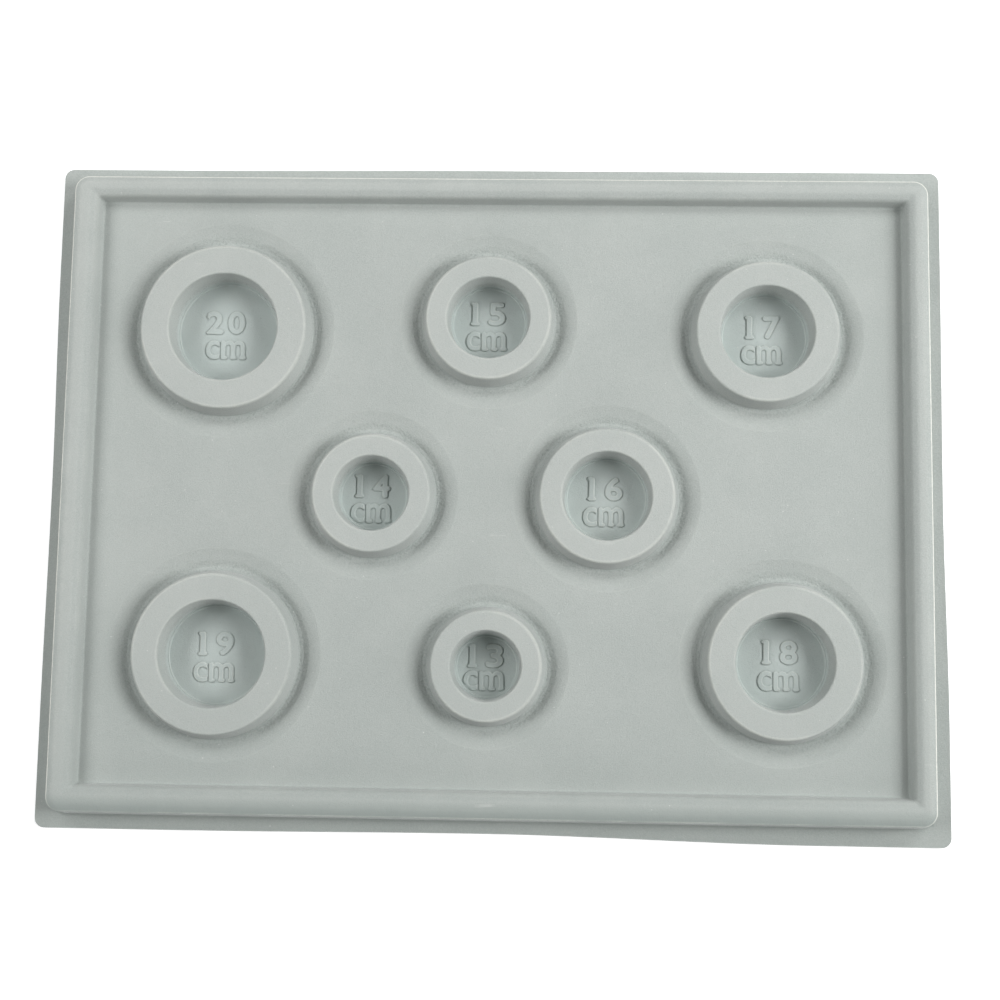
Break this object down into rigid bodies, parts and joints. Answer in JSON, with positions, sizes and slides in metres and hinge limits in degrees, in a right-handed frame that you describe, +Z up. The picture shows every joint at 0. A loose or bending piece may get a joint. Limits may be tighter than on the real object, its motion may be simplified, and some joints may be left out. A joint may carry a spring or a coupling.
{
  "type": "bracelet bead board",
  "caption": "Rectangular flocked bead tray with a raised rim and round cupped formers in grooves, each sized to a bracelet length in whole centimetres.",
  "frame": {"origin": "under the middle of the board, on the plane that it rests on", "axes": "+X along the long side, +Y along the short side towards the 20, 15 and 17 cm formers, +Z up"},
  "size_m": [0.348, 0.261, 0.0142],
  "materials": {
    "flock": "short dense grey-green nylon pile, matt, with pale rubbed edges",
    "formed_plastic": "satin vacuum-formed polystyrene, bare on the underside and along the cut edge"
  },
  "bodies": {
    "root": {"flock_coat": "flock", "carrier_sheet": "formed_plastic"}
  },
  "joints": []
}
